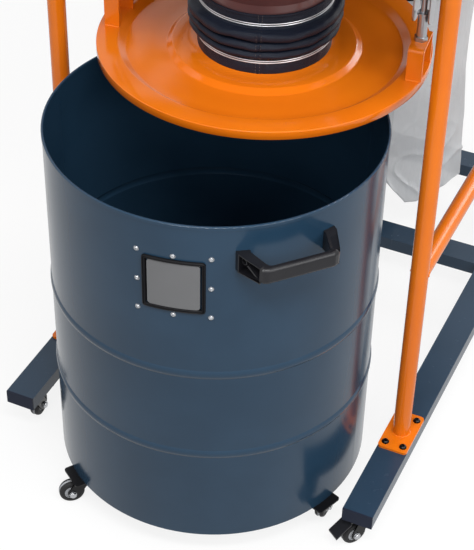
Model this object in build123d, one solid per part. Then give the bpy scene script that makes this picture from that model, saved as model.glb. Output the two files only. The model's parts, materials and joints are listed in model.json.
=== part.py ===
"""Collecting section of a dust extraction unit: drum on casters, raised lid, cone, bag and frame."""

from build123d import *
from math import asin, cos, radians, sin, sqrt
import os

os.makedirs("parts", exist_ok=True)

# Base frame, in millimetres. Y runs from the drum (front) to the filter bag (rear), Z is up.
rail_width = 60.0
rail_height = 30.0
rail_wall = 2.0
rail_spread = 727.0
rail_front = 340.0
rail_rear = 960.0
rail_underside = 77.0
cap_flange = 3.0
cap_plug = 18.0
cap_fit = 0.3
front_beam_y = 494.0
rear_beam_y = 842.0

# Legs and side tubes
tube_diameter = 33.7
tube_wall = 2.6
front_leg_y = -106.0
rear_leg_y = 842.0
plate_width = 60.0
plate_length = 110.0
plate_thickness = 5.0
plate_corner = 8.0
plate_bolt_across = 36.0
plate_bolt_along = 80.0
plate_bolt_hole = 8.5
weld_gap = 0.25
lower_tube_z = 512.0

# Deck on the legs, its height given above the clamps' pivots
deck_above = 188.0
deck_sheet = 4.0
deck_skirt = 36.0
deck_corner = 14.0
skirt_gap = 0.5
flange_sheet = 4.0
flange_width = 34.0
flange_bolts = 12
flange_bolt_hole = 9.0
flange_bolt_inset = 15.0
drop_in_gap = 1.5

# Cone above the lid
cone_top_radius = 262.0
cone_sheet = 2.0
cone_head = 38.0
cone_spigot_length = 52.0
cone_above_lid = 77.0
spigot_radius = 116.5

# Filter housing above the bag
filter_y = 700.0
housing_radius = 222.0
housing_sheet = 2.0
housing_length = 598.0
collar_radius = 186.0
collar_length = 40.0

# Filter bag
film = 2.0
bag_gap = 0.3
bag_lap = 34.0
bag_shoulder_drop = 142.0
bag_shoulder_size = 352.0
bag_hip_drop = 487.0
bag_hip_size = 318.0
bag_bottom_drop = 576.0
bag_bottom_size = 262.0
bag_turn = 44.0
strap_width = 12.0
strap_thickness = 1.2

# Lid
lid_radius = 300.0
lid_lift = 43.0
lid_height = 16.0
lid_sheet = 2.5
lid_corner = 2.5
step_radius = 262.0
step_drop = 11.0
step_run = 14.0
raised_radius = 177.0
raised_step = 9.0
raised_run = 14.0
lid_spigot_height = 38.0
gasket_width = 26.0
gasket_fit = 0.3
gasket_proud = 0.5

# Sleeve between the lid and the cone
fabric = 3.0
sleeve_fit = 0.5
sleeve_bulge = 17.0
sleeve_folds = (40.0, 58.0, 75.0)
fold_half = 7.5
sleeve_foot_gap = 0.4
sleeve_rise = 114.0
lower_wire_rise = 22.0
upper_wire_rise = 95.0
wire_diameter = 2.4
wire_pitch = 3.2

# Lid brackets and push-pull clamps
clamp_radius = 277.0
clamp_turn = 7.0
clamp_forward = 17.0
clamp_sideways = 9.0
bracket_width = 28.0
bracket_length = 74.0
bracket_height = 62.0
bracket_bar = 4.0
bracket_bend = 7.0
stud_diameter = 8.0
stud_clearance = 0.2
nut_across = 21.0
nut_height = 8.0
barrel_diameter = 18.0
barrel_height = 42.0
collar_ring_diameter = 22.0
collar_ring_height = 4.0
rod_diameter = 11.0
rod_clearance = 0.1
rod_end_drop = 22.0
cheek_gap = 26.0
cheek_thickness = 2.5
cheek_depth = 30.0
cheek_above_bracket = 35.0
cheek_rise = 16.0
web_drop = 112.0
guide_drop = 102.0
guide_height = 30.0
pivot_above_bracket = 201.0
pivot_diameter = 8.0
pivot_clearance = 0.1
lever_thickness = 3.0
lever_gap = 0.8
lever_width = 20.0
lever_rise = 44.0
lever_tang = 12.0
lever_stem_diameter = 9.0
grip_diameter = 19.0
grip_length = 70.0
grip_start = 58.0
arm_thickness = 5.0
arm_height = 40.0

# Drum
drum_forward = 199.0
drum_radius = 300.0
drum_wall = 2.0
drum_base = 66.0
rim_z = 790.0
rim_width = 4.5
rim_height = 8.0
rim_round = 2.0
bead_heights = (279.0, 471.0)
bead_proud = 2.5
bead_width = 18.0
floor_rise = 12.0
floor_sheet = 3.0
floor_fit = 0.3

# Drum window and handle, as angles about the drum's axis
window_angle = -78.0
window_drop = 126.0
window_width = 102.0
window_height = 106.0
window_corner = 9.0
frame_band = 6.0
frame_proud = 5.0
frame_neck = 2.0
frame_fit = 0.3
pane_sheet = 3.0
handle_angle = -41.7
handle_drop = 48.0
handle_length = 176.0
handle_shoulder_length = 139.0
handle_grip_length = 118.0
handle_depth = 53.5
handle_shoulder_depth = 45.0
handle_bar = 11.5
handle_foot = 22.0
handle_gap_length = 106.0
handle_height = 31.0
handle_foot_height = 37.5
handle_seat = 0.3

# Casters
wheel_diameter = 50.0
wheel_width = 19.0
wheel_groove = 4.0
tread_bevel = 4.0
hub_diameter = 32.0
hub_recess = 2.5
axle_diameter = 8.0
axle_clearance = 0.1
fork_sheet = 2.5
fork_gap = 1.5
fork_width = 30.0
trail = 24.0
caster_plate = 56.0
caster_plate_sheet = 3.0
swivel_diameter = 38.0
swivel_height = 7.0
swivel_gap = 0.4
drum_caster_radius = 290.0
drum_caster_angles = (-125.0, -20.0, 55.0, 160.0)
drum_caster_headings = (-140.0, 92.0, 60.0, 100.0)
frame_caster_inset = 46.0
frame_caster_headings = (95.0, -126.0, -85.0, -95.0)
pedal_width = 28.0
pedal_reach = 70.0
pedal_step = 38.0
pedal_drop = 26.0
pedal_sheet = 4.0
pedal_gap = 0.3

# The origin is on the floor below the middle of the plan, so the cyclone axis sits in front of it.
rim_outer = drum_radius - drum_wall / 2 + rim_width / 2
frame_outer = drum_radius + frame_proud
frame_edge = radians(-window_angle) + asin(window_width / 2 / frame_outer)
front_edge = -drum_forward - max(rim_outer, frame_outer * sin(frame_edge))
cyclone_y = -(front_edge + rail_rear) / 2
rail_x = rail_spread / 2
rail_top = rail_underside + rail_height
leg_bottom = rail_top + plate_thickness
tube_radius = tube_diameter / 2

# Heights follow one another up from the drum's rim.
lid_underside = rim_z + lid_lift
lid_top = lid_underside + lid_height
recess_top = lid_top - step_drop
raised_top = recess_top + raised_step
bracket_top = lid_top + bracket_height
pivot_z = bracket_top + pivot_above_bracket
upper_tube_z = pivot_z
deck_top = pivot_z + deck_above
deck_underside = deck_top - deck_sheet
leg_top = deck_underside - plate_thickness
sleeve_top = lid_top + sleeve_rise
cone_spigot_bottom = lid_top + cone_above_lid
cone_bottom = cone_spigot_bottom + cone_spigot_length
cone_top = deck_top - cone_head
housing_bottom = deck_top - housing_length
bag_shoulder_z = housing_bottom - bag_shoulder_drop
bag_hip_z = housing_bottom - bag_hip_drop
bag_bottom_z = housing_bottom - bag_bottom_drop
cheek_bottom = bracket_top + cheek_above_bracket
cheek_top = pivot_z + cheek_rise
rod_top = pivot_z - rod_end_drop
web_bottom = pivot_z - web_drop
guide_bottom = pivot_z - guide_drop
window_z = rim_z - window_drop
handle_top = rim_z - handle_drop
legs = {
    "leg_front_left": (-rail_x, front_leg_y),
    "leg_front_right": (rail_x, front_leg_y),
    "leg_rear_left": (-rail_x, rear_leg_y),
    "leg_rear_right": (rail_x, rear_leg_y),
}


def save(shape, node):
    """Write one node, moved so that the origin is under the middle of the plan."""
    placed = Compound([Pos(0, cyclone_y, 0) * solid for solid in shape.solids()])
    placed.label = node
    export_step(placed, f"parts/{node}.step")


def upright(radius, bottom, top, inner=0.0):
    """A cylinder or tube about the Z axis between two heights."""
    body = extrude(Circle(radius), top - bottom)
    if inner:
        body -= extrude(Circle(inner), top - bottom)
    return Pos(0, 0, bottom) * body


def block(x0, x1, y0, y1, z0, z1):
    """A box given by its faces."""
    size = (x1 - x0, y1 - y0, z1 - z0)
    return Pos((x0 + x1) / 2, (y0 + y1) / 2, (z0 + z1) / 2) * Box(*size)


def turned(*points):
    """A solid turned about Z from a closed outline of (radius, height) points."""
    outline = make_face(Plane.XZ * Polyline(*points, close=True))
    return revolve(outline, Axis.Z)


def rectangular_tube(length):
    """Rail or beam section, lying along Y and starting at Y = 0."""
    section = Rectangle(rail_width, rail_height)
    bore = Rectangle(rail_width - 2 * rail_wall, rail_height - 2 * rail_wall)
    tube = extrude(section - bore, length)
    middle = (rail_underside + rail_top) / 2
    return Pos(0, 0, middle) * Rot(X=-90) * tube


def build_base():
    length = rail_front + rail_rear - 2 * cap_flange
    start = -rail_front + cap_flange
    for side, name in ((-1, "rail_left"), (1, "rail_right")):
        save(Pos(side * rail_x, start, 0) * rectangular_tube(length), name)
    inner = rail_x - rail_width / 2
    for y, name in ((front_beam_y, "cross_beam_front"), (rear_beam_y, "cross_beam_rear")):
        beam = Pos(-inner, y, 0) * Rot(Z=-90) * rectangular_tube(2 * inner)
        save(beam, name)
    plug_x = rail_width / 2 - rail_wall - cap_fit
    plug_z = rail_wall + cap_fit
    caps = []
    for side in (-1, 1):
        for end, y in ((-1, -rail_front), (1, rail_rear)):
            face_y = sorted((y, y - end * cap_flange))
            plug_y = sorted((y - end * cap_flange, y - end * (cap_flange + cap_plug)))
            half = rail_width / 2
            face = block(-half, half, *face_y, rail_underside, rail_top)
            plug = block(-plug_x, plug_x, *plug_y, rail_underside + plug_z, rail_top - plug_z)
            caps.append(Pos(side * rail_x, 0, 0) * (face + plug))
    save(Compound(caps), "rail_caps")


def bolted_plate(x, y, bottom):
    plate = RectangleRounded(plate_width, plate_length, plate_corner)
    across, along = plate_bolt_across / 2, plate_bolt_along / 2
    for dx, dy in ((-across, -along), (across, -along), (-across, along), (across, along)):
        plate -= Pos(dx, dy) * Circle(plate_bolt_hole / 2)
    return Pos(x, y, bottom) * extrude(plate, plate_thickness)


def build_legs():
    for name, (x, y) in legs.items():
        leg = upright(tube_radius, leg_bottom, leg_top, tube_radius - tube_wall)
        save(Pos(x, y, 0) * leg, name)
    feet = [bolted_plate(x, y, rail_top) for x, y in legs.values()]
    heads = [bolted_plate(x, y, leg_top) for x, y in legs.values()]
    save(Compound(feet), "foot_plates")
    save(Compound(heads), "head_plates")
    for side, name in ((-1, "left"), (1, "right")):
        for z, level in ((lower_tube_z, "lower"), (upper_tube_z, "upper")):
            span = rear_leg_y - front_leg_y
            tube = extrude(Circle(tube_radius) - Circle(tube_radius - tube_wall), span)
            tube = Pos(side * rail_x, front_leg_y, z) * Rot(X=-90) * tube
            for y in (front_leg_y, rear_leg_y):
                cope = upright(tube_radius + weld_gap, z - tube_diameter, z + tube_diameter)
                tube -= Pos(side * rail_x, y, 0) * cope
            save(tube, f"side_tube_{level}_{name}")


def hanging_flange(radius):
    """Ring that a shell is welded into and hangs from on the deck, with its bolt holes."""
    ring = Circle(radius + flange_width) - Circle(radius + weld_gap)
    pitch = radius + flange_width - flange_bolt_inset
    for place in PolarLocations(pitch, flange_bolts):
        ring -= place * Circle(flange_bolt_hole / 2)
    return Pos(0, 0, deck_top) * extrude(ring, flange_sheet)


def build_deck():
    half = rail_x + rail_width / 2 + skirt_gap + deck_sheet
    middle = (rail_rear - rail_front) / 2
    depth = rail_front + rail_rear
    outer = RectangleRounded(2 * half, depth, deck_corner)
    inner = RectangleRounded(2 * (half - deck_sheet), depth - 2 * deck_sheet, deck_corner - deck_sheet)
    tray = extrude(outer, -deck_skirt) - Pos(0, 0, -deck_sheet) * extrude(inner, -deck_skirt)
    deck = Pos(0, middle, deck_top) * tray
    for y, radius in ((0, cone_top_radius), (filter_y, housing_radius)):
        hole = upright(radius + drop_in_gap, deck_underside - 1, deck_top + 1)
        deck -= Pos(0, y, 0) * hole
        pitch = radius + flange_width - flange_bolt_inset
        bolt = upright(flange_bolt_hole / 2, deck_underside - 1, deck_top + 1)
        for place in PolarLocations(pitch, flange_bolts):
            deck -= Pos(0, y, 0) * place * bolt
    across, along = plate_bolt_across / 2, plate_bolt_along / 2
    bolt = upright(plate_bolt_hole / 2, deck_underside - 1, deck_top + 1)
    for x, y in legs.values():
        for dx in (-across, across):
            for dy in (-along, along):
                deck -= Pos(x + dx, y + dy, 0) * bolt
    save(deck, "deck")


def build_cone():
    slant = (cone_top_radius - spigot_radius) / (cone_top - cone_bottom)
    across = cone_sheet * sqrt(1 + slant * slant)
    low, high = spigot_radius, cone_top_radius
    cone = turned(
        (low - cone_sheet, cone_spigot_bottom),
        (low, cone_spigot_bottom),
        (low, cone_bottom),
        (high, cone_top),
        (high, deck_top + flange_sheet),
        (high - cone_sheet, deck_top + flange_sheet),
        (high - cone_sheet, cone_top + (across - cone_sheet) / slant),
        (low - cone_sheet, cone_bottom + (across - cone_sheet) / slant),
    )
    save(cone, "cone")
    save(hanging_flange(cone_top_radius), "cone_flange")


def build_housing():
    foot = housing_bottom + housing_sheet
    wall = housing_radius - housing_sheet
    housing = turned(
        (collar_radius - housing_sheet, housing_bottom - collar_length),
        (collar_radius, housing_bottom - collar_length),
        (collar_radius, housing_bottom),
        (housing_radius, housing_bottom),
        (housing_radius, deck_top + flange_sheet),
        (wall, deck_top + flange_sheet),
        (wall, foot),
        (collar_radius - housing_sheet, foot),
    )
    save(Pos(0, filter_y, 0) * housing, "filter_housing")
    save(Pos(0, filter_y, 0) * hanging_flange(housing_radius), "filter_flange")


def bag_form(inset):
    """Bag outline as a loft from its round mouth to the tucked square bottom."""
    mouth = collar_radius + bag_gap + film - inset
    mouth_z = housing_bottom - collar_length - bag_gap
    squares = (
        (bag_shoulder_z, bag_shoulder_size, 0.42),
        (bag_hip_z, bag_hip_size, 0.22),
        (bag_bottom_z + inset, bag_bottom_size, 0.16),
    )
    sections = [Pos(0, 0, mouth_z) * Circle(mouth)]
    for z, size, share in squares:
        side = size - 2 * inset
        sections.append(Pos(0, 0, z) * Rot(Z=bag_turn) * RectangleRounded(side, side, side * share))
    return loft(sections, ruled=True)


def build_bag():
    mouth_z = housing_bottom - collar_length - bag_gap
    lap_top = mouth_z + bag_lap
    lap_inner = collar_radius + bag_gap
    lap = upright(lap_inner + film, mouth_z, lap_top, lap_inner)
    bag = bag_form(0.0) - bag_form(film) + lap
    save(Pos(0, filter_y, 0) * bag, "filter_bag")
    strap_inner = lap_inner + film + bag_gap
    strap_z = mouth_z + bag_lap / 2
    half = strap_width / 2
    strap = upright(strap_inner + strap_thickness, strap_z - half, strap_z + half, strap_inner)
    save(Pos(0, filter_y, 0) * strap, "bag_strap")


def build_lid():
    """Pressed disc: a flat margin, a step down to the recess and a step up to the raised middle."""
    outside = [
        (lid_radius, lid_underside),
        (lid_radius, lid_top),
        (step_radius, lid_top),
        (step_radius - step_run, recess_top),
        (raised_radius, recess_top),
        (raised_radius - raised_run, raised_top),
        (spigot_radius, raised_top),
        (spigot_radius, lid_top + lid_spigot_height),
    ]
    inside = [
        (lid_radius - lid_sheet, lid_underside),
        (lid_radius - lid_sheet, lid_top - lid_sheet),
        (step_radius, lid_top - lid_sheet),
        (step_radius - step_run, recess_top - lid_sheet),
        (raised_radius, recess_top - lid_sheet),
        (raised_radius - raised_run, raised_top - lid_sheet),
        (spigot_radius - lid_sheet, raised_top - lid_sheet),
        (spigot_radius - lid_sheet, lid_top + lid_spigot_height),
    ]
    lid = turned(*outside, *reversed(inside))
    edge = lid.edges().filter_by(GeomType.CIRCLE)
    rim = [e for e in edge if abs(e.radius - lid_radius) < 0.01 and e.center().Z > lid_top - 0.1]
    save(fillet(rim, lid_corner), "lid")
    outside = lid_radius - lid_sheet - gasket_fit
    ring_top = lid_top - lid_sheet - gasket_fit
    ring = upright(outside, lid_underside - gasket_proud, ring_top, outside - gasket_width)
    save(ring, "lid_gasket")


def wire_pair(z):
    """Two turns of wire around the sleeve."""
    radius = spigot_radius + sleeve_fit + fabric + wire_diameter / 2 + sleeve_foot_gap
    half = wire_pitch / 2
    turns = [Pos(0, 0, z + dz) * Torus(radius, wire_diameter / 2) for dz in (-half, half)]
    return Compound(turns)


def build_sleeve():
    inner = spigot_radius + sleeve_fit
    outer = inner + fabric
    foot = raised_top + sleeve_foot_gap
    out_side = [(outer, foot)]
    in_side = [(inner, foot)]
    folds = [lid_top + rise for rise in sleeve_folds]
    for z in folds:
        out_side += [(outer, z - fold_half), (outer + sleeve_bulge, z)]
        in_side += [(inner, z - fold_half), (inner + sleeve_bulge - fabric, z)]
    out_side += [(outer, folds[-1] + fold_half), (outer, sleeve_top)]
    in_side += [(inner, folds[-1] + fold_half), (inner, sleeve_top)]
    save(turned(*out_side, *reversed(in_side)), "sleeve")
    save(wire_pair(lid_top + lower_wire_rise), "sleeve_wire_lower")
    save(wire_pair(lid_top + upper_wire_rise), "sleeve_wire_upper")


def clamp_places():
    """Centre of each clamp, left and right, on a line turned about the lid's axis."""
    x = clamp_radius * cos(radians(clamp_turn))
    y = clamp_radius * sin(radians(clamp_turn))
    return {
        "left": (clamp_sideways - x, -clamp_forward - y),
        "right": (clamp_sideways + x, -clamp_forward + y),
    }


def bracket():
    half = bracket_length / 2
    outer = Pos(0, bracket_height / 2) * Rectangle(bracket_length, bracket_height)
    inner = Pos(0, (bracket_height - bracket_bar) / 2) * Rectangle(
        bracket_length - 2 * bracket_bar, bracket_height - bracket_bar
    )
    bends = [v for v in outer.vertices() if v.Y > bracket_height - 1]
    outer = fillet(bends, bracket_bend)
    bends = [v for v in inner.vertices() if v.Y > bracket_height / 2]
    inner = fillet(bends, bracket_bend - bracket_bar)
    bar = extrude(Plane.YZ * (outer - inner), bracket_width / 2, both=True)
    hole = upright(stud_diameter / 2 + stud_clearance, bracket_height - half, bracket_height + 1)
    return Pos(0, 0, lid_top) * (bar - hole)


def plunger():
    z = bracket_top
    stud = upright(stud_diameter / 2, z - 2 * bracket_bar - nut_height, z)
    nut = extrude(RegularPolygon(nut_across / 2, 6, major_radius=False), nut_height)
    barrel_foot = z + nut_height
    barrel_head = barrel_foot + barrel_height
    ring_head = barrel_head + collar_ring_height
    barrel = upright(barrel_diameter / 2, barrel_foot, barrel_head)
    ring = upright(collar_ring_diameter / 2, barrel_head, ring_head)
    rod = upright(rod_diameter / 2, ring_head, rod_top)
    under = extrude(RegularPolygon(stud_diameter * 0.8, 6, major_radius=False), nut_height)
    under_z = z - bracket_bar - nut_height
    whole = stud + Pos(0, 0, z) * nut + barrel + ring + rod
    return whole + Pos(0, 0, under_z) * under


def clamp_body():
    """Two cheeks, the web behind them, the rod guide and the lever's pin."""
    front, back = -cheek_depth / 2, cheek_depth / 2
    side = cheek_gap / 2
    cheek = Pos(0, (cheek_bottom + cheek_top) / 2) * Rectangle(cheek_depth, cheek_top - cheek_bottom)
    cheek = fillet(cheek.vertices(), cheek_depth / 2 - 1)
    cheek_solid = extrude(Plane.YZ * cheek, cheek_thickness)
    body = Pos(side, 0, 0) * cheek_solid + Pos(-side - cheek_thickness, 0, 0) * cheek_solid
    body += block(-side, side, back - cheek_thickness, back, web_bottom, cheek_top - cheek_depth / 2)
    guide = block(-side, side, front + 2, back - cheek_thickness, guide_bottom, guide_bottom + guide_height)
    bore = upright(rod_diameter / 2 + rod_clearance, guide_bottom - 1, guide_bottom + guide_height + 1)
    body += guide - bore
    reach = side + cheek_thickness + lever_gap + lever_thickness + 1
    pin = extrude(Circle(pivot_diameter / 2), reach, both=True)
    return body + Pos(0, 0, pivot_z) * Rot(Y=90) * pin


def lever():
    """Fork outside the cheeks, closed by a yoke that carries the stem."""
    inside = cheek_gap / 2 + cheek_thickness + lever_gap
    outside = inside + lever_thickness
    yoke_z = pivot_z + lever_rise
    arm = SlotCenterToCenter(lever_rise - lever_tang, lever_width)
    arm = Rot(Z=90) * arm
    arm_z = pivot_z + (lever_rise - lever_tang) / 2
    blade = extrude(Plane.YZ * (Pos(0, arm_z) * arm), lever_thickness)
    fork = Pos(inside, 0, 0) * blade + Pos(-outside, 0, 0) * blade
    half = lever_width / 2
    yoke_low = yoke_z - lever_tang / 2
    fork += block(-outside, outside, -half / 2, half / 2, yoke_low, yoke_z)
    hole = extrude(Circle(pivot_diameter / 2 + pivot_clearance), 2 * outside, both=True)
    fork -= Pos(0, 0, pivot_z) * Rot(Y=90) * hole
    stem_top = pivot_z + grip_start + grip_length - lever_tang
    return fork + upright(lever_stem_diameter / 2, yoke_z - 1, stem_top)


def grip():
    bottom = pivot_z + grip_start
    bore_top = bottom + grip_length - lever_tang + 0.3
    body = extrude(Circle(grip_diameter / 2), grip_length)
    body = fillet(body.edges().filter_by(GeomType.CIRCLE), grip_diameter / 5)
    return Pos(0, 0, bottom) * body - upright(lever_stem_diameter / 2 + 0.2, bottom - 1, bore_top)


def build_clamps():
    places = clamp_places()
    turn = {"left": 180 + clamp_turn, "right": clamp_turn}
    for side, (x, y) in places.items():
        save(Pos(x, y, 0) * Rot(Z=turn[side]) * bracket(), f"lid_bracket_{side}")
        save(Pos(x, y, 0) * plunger(), f"clamp_plunger_{side}")
        save(Pos(x, y, 0) * clamp_body(), f"clamp_body_{side}")
        save(Pos(x, y, 0) * lever(), f"clamp_lever_{side}")
        save(Pos(x, y, 0) * grip(), f"clamp_grip_{side}")
    arms = []
    for side, (x, y) in places.items():
        sign = 1 if x > 0 else -1
        inner = x - sign * (cheek_gap / 2 + cheek_thickness)
        outer = sign * (rail_x - tube_radius - weld_gap)
        back = y + cheek_depth / 2
        low = upper_tube_z - arm_height / 2
        xs = sorted((inner, outer))
        arms.append(block(*xs, back, back + arm_thickness, low, low + arm_height))
    save(Compound(arms), "clamp_arms")


def wall_section():
    """Drum wall with its swage beads, as a sketch of (radius, height)."""
    rise = bead_proud
    arc = (bead_width * bead_width / 4 + rise * rise) / (2 * rise)
    height = rim_z - rim_width / 2 - drum_base
    wall = Pos(drum_radius - drum_wall / 2, drum_base + height / 2) * Rectangle(drum_wall, height)
    band = Rectangle(4 * rise + 2 * drum_wall, 2 * bead_width)
    centre = drum_radius + rise - arc
    reach = drum_radius + 2 * rise
    for z in bead_heights:
        outer = (Pos(centre, z) * Circle(arc)) & (Pos(reach, z) * band)
        inner = (Pos(centre, z) * Circle(arc - drum_wall)) & (Pos(reach - drum_wall, z) * band)
        wall = wall + outer - inner
    return wall


def rim_section():
    """Folded rim over the top of the wall, as a sketch of (radius, height)."""
    middle = drum_radius - drum_wall / 2
    band = Pos(middle, rim_z - rim_height / 2) * Rectangle(rim_width, rim_height)
    band = fillet(band.vertices().filter_by_position(Axis.Y, rim_z - 0.1, rim_z + 0.1), rim_round)
    slot_top = rim_z - rim_width / 2
    depth = 2 * rim_height
    return band - Pos(middle, slot_top - depth / 2) * Rectangle(drum_wall + 0.04, depth)


def facing(angle, z):
    """Place on the drum's axis, with local Z pointing out and local Y up."""
    return Rot(Z=angle) * Pos(0, 0, z) * Location(Plane((0, 0, 0), x_dir=(0, 1, 0), z_dir=(1, 0, 0)))


def skin(inner, outer):
    """Slice of a tube about the drum's axis, tall enough for the window."""
    low = window_z - window_height
    return upright(outer, low, window_z + window_height, inner)


def window_block(width, height, corner):
    reach = drum_radius + 2 * window_width
    return facing(window_angle, window_z) * extrude(RectangleRounded(width, height, corner), reach)


def build_drum():
    shell = revolve(Plane.XZ * wall_section(), Axis.Z)
    neck_width = window_width - 2 * frame_band + 2 * frame_neck
    neck_height = window_height - 2 * frame_band + 2 * frame_neck
    shell -= window_block(neck_width, neck_height, window_corner - frame_band / 2)
    drum = Pos(0, -drum_forward, 0)
    save(drum * shell, "drum_shell")
    save(drum * revolve(Plane.XZ * rim_section(), Axis.Z), "drum_rim")
    floor_z = drum_base + floor_rise
    inside = drum_radius - drum_wall - floor_fit
    floor = turned(
        (0, floor_z),
        (inside - floor_sheet, floor_z),
        (inside - floor_sheet, drum_base),
        (inside, drum_base),
        (inside, floor_z + floor_sheet),
        (0, floor_z + floor_sheet),
    )
    save(drum * floor, "drum_floor")


def build_window():
    out_width = window_width - 2 * frame_band
    out_height = window_height - 2 * frame_band
    inner_corner = window_corner - frame_band / 2
    opening = window_block(out_width, out_height, inner_corner)
    band = window_block(window_width, window_height, window_corner) & skin(
        drum_radius + frame_fit, drum_radius + frame_proud
    )
    neck_width = out_width + 2 * (frame_neck - frame_fit)
    neck_height = out_height + 2 * (frame_neck - frame_fit)
    neck = window_block(neck_width, neck_height, inner_corner) & skin(
        drum_radius - 2 * drum_wall, drum_radius + frame_fit + 0.5
    )
    drum = Pos(0, -drum_forward, 0)
    save(drum * (band + neck - opening), "window_frame")
    pane = window_block(out_width - 2 * frame_fit, out_height - 2 * frame_fit, inner_corner)
    pane &= skin(drum_radius - 1, drum_radius - 1 + pane_sheet)
    save(drum * pane, "window_pane")


def build_handle():
    """Bridge handle: two feet on the drum and a bar, drawn on a plane across the drum's axis."""
    half, shoulder = handle_length / 2, handle_shoulder_length / 2
    grip_half, gap_half = handle_grip_length / 2, handle_gap_length / 2
    face = drum_radius * cos(asin(half / drum_radius))
    reach = drum_radius + handle_depth
    bend = drum_radius + handle_shoulder_depth
    foot_inner = half - handle_foot
    outline = make_face(
        Polyline(
            (-half, face - 6),
            (half, face - 6),
            (shoulder, bend),
            (grip_half, reach),
            (-grip_half, reach),
            (-shoulder, bend),
            close=True,
        )
    )
    hollow = make_face(
        Polyline(
            (-foot_inner, face - 8),
            (foot_inner, face - 8),
            (gap_half, reach - handle_bar),
            (-gap_half, reach - handle_bar),
            close=True,
        )
    )
    body = extrude(outline - hollow, -handle_foot_height)
    low = Pos(0, reach, -handle_foot_height) * Box(
        handle_length, 2 * (handle_depth - 16), 2 * (handle_foot_height - handle_height)
    )
    body = Pos(0, 0, handle_top) * Rot(Z=handle_angle - 90) * (body - low)
    body -= upright(drum_radius + handle_seat, drum_base, rim_z + 10)
    save(Pos(0, -drum_forward, 0) * body, "drum_handle")


def caster_wheel():
    """Wheel about the X axis, with a groove in its tread and recessed hub faces."""
    half = wheel_width / 2
    radius = wheel_diameter / 2
    section = Pos(0, radius / 2) * Rectangle(wheel_width, radius)
    tread = section.vertices().filter_by_position(Axis.Y, radius - 1, radius + 1)
    section = chamfer(tread, tread_bevel)
    section -= Pos(0, radius) * Rectangle(wheel_groove, 2.4)
    for side in (-1, 1):
        section -= Pos(side * half, 0) * Rectangle(2 * hub_recess, hub_diameter)
    section -= Pos(0, 0) * Rectangle(2 * wheel_width, axle_diameter + 2 * axle_clearance)
    wheel = revolve(section, Axis.X)
    return wheel


def caster_fork(height):
    """Fork under the swivel, with its axle, made for a swivel on the Z axis."""
    top = height - caster_plate_sheet - swivel_gap
    crown_low = top - swivel_height
    axle_z = wheel_diameter / 2
    inside = wheel_width / 2 + fork_gap
    outside = inside + fork_sheet
    cheek = make_face(
        Polyline(
            (-fork_width / 2, crown_low),
            (fork_width / 2, crown_low),
            (trail + 9, axle_z + 6),
            (trail + 9, axle_z - 8),
            (trail - 9, axle_z - 8),
            close=True,
        )
    )
    corners = [v for v in cheek.vertices() if v.Y < crown_low - 1]
    cheek = fillet(corners, 5)
    blade = extrude(Plane.YZ * cheek, fork_sheet)
    fork = Pos(inside, 0, 0) * blade + Pos(-outside, 0, 0) * blade
    bridge = block(-outside, outside, -fork_width / 2, fork_width / 2, crown_low - fork_sheet, crown_low)
    crown = upright(swivel_diameter / 2, crown_low, top)
    axle = extrude(Circle(axle_diameter / 2), outside + 1.5, both=True)
    return fork + bridge + crown + Pos(0, trail, axle_z) * Rot(Y=90) * axle


def caster_top(height):
    plate = extrude(RectangleRounded(caster_plate, caster_plate, 6), caster_plate_sheet)
    return Pos(0, 0, height - caster_plate_sheet) * plate


def brake_pedal(height):
    """Pedal from the fork's crown over the wheel: a tongue between the cheeks and a wide tip."""
    crown_low = height - caster_plate_sheet - swivel_gap - swivel_height
    root = fork_width / 2 + pedal_gap
    outline = make_face(
        Polyline(
            (root, crown_low),
            (pedal_step, crown_low - 3),
            (pedal_reach, crown_low - pedal_drop),
            (pedal_reach, crown_low - pedal_drop - pedal_sheet),
            (pedal_step, crown_low - 3 - pedal_sheet),
            (root, crown_low - pedal_sheet),
            close=True,
        )
    )
    half = pedal_width / 2
    pedal = extrude(Plane.YZ * outline, half, both=True)
    tongue = wheel_width / 2 + fork_gap - pedal_gap
    for sides in ((-half - 1, -tongue), (tongue, half + 1)):
        pedal -= block(*sides, 0, pedal_step, 0, height)
    return pedal


def build_drum_casters():
    places = zip(drum_caster_angles, drum_caster_headings)
    for index, (angle, heading) in enumerate(places, start=1):
        x = drum_caster_radius * cos(radians(angle))
        y = drum_caster_radius * sin(radians(angle)) - drum_forward
        place = Pos(x, y, 0) * Rot(Z=heading - 90)
        save(place * caster_fork(drum_base), f"drum_caster_fork_{index}")
        save(place * Pos(0, trail, wheel_diameter / 2) * caster_wheel(), f"drum_caster_wheel_{index}")
    plates = []
    for angle in drum_caster_angles:
        plate = Rot(Z=angle) * Pos(drum_caster_radius, 0, 0) * caster_top(drum_base)
        plates.append(Pos(0, -drum_forward, 0) * plate)
    save(Compound(plates), "drum_caster_plates")


def build_frame_casters():
    front, rear = -rail_front + frame_caster_inset, rail_rear - frame_caster_inset
    pivots = ((-rail_x, front), (rail_x, front), (-rail_x, rear), (rail_x, rear))
    forks, wheels, plates, pedals = [], [], [], []
    for (x, y), heading in zip(pivots, frame_caster_headings):
        place = Pos(x, y, 0) * Rot(Z=heading - 90)
        forks.append(place * caster_fork(rail_underside))
        wheels.append(place * Pos(0, trail, wheel_diameter / 2) * caster_wheel())
        pedals.append(place * brake_pedal(rail_underside))
        plates.append(Pos(x, y, 0) * caster_top(rail_underside))
    save(Compound(forks), "frame_caster_forks")
    save(Compound(wheels), "frame_caster_wheels")
    save(Compound(pedals), "frame_caster_pedals")
    save(Compound(plates), "frame_caster_plates")


build_base()
build_legs()
build_deck()
build_cone()
build_housing()
build_bag()
build_lid()
build_sleeve()
build_clamps()
build_drum()
build_window()
build_handle()
build_drum_casters()
build_frame_casters()
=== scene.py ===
import bpy
import json
import math
import random
from mathutils import Matrix, Vector, noise


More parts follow.
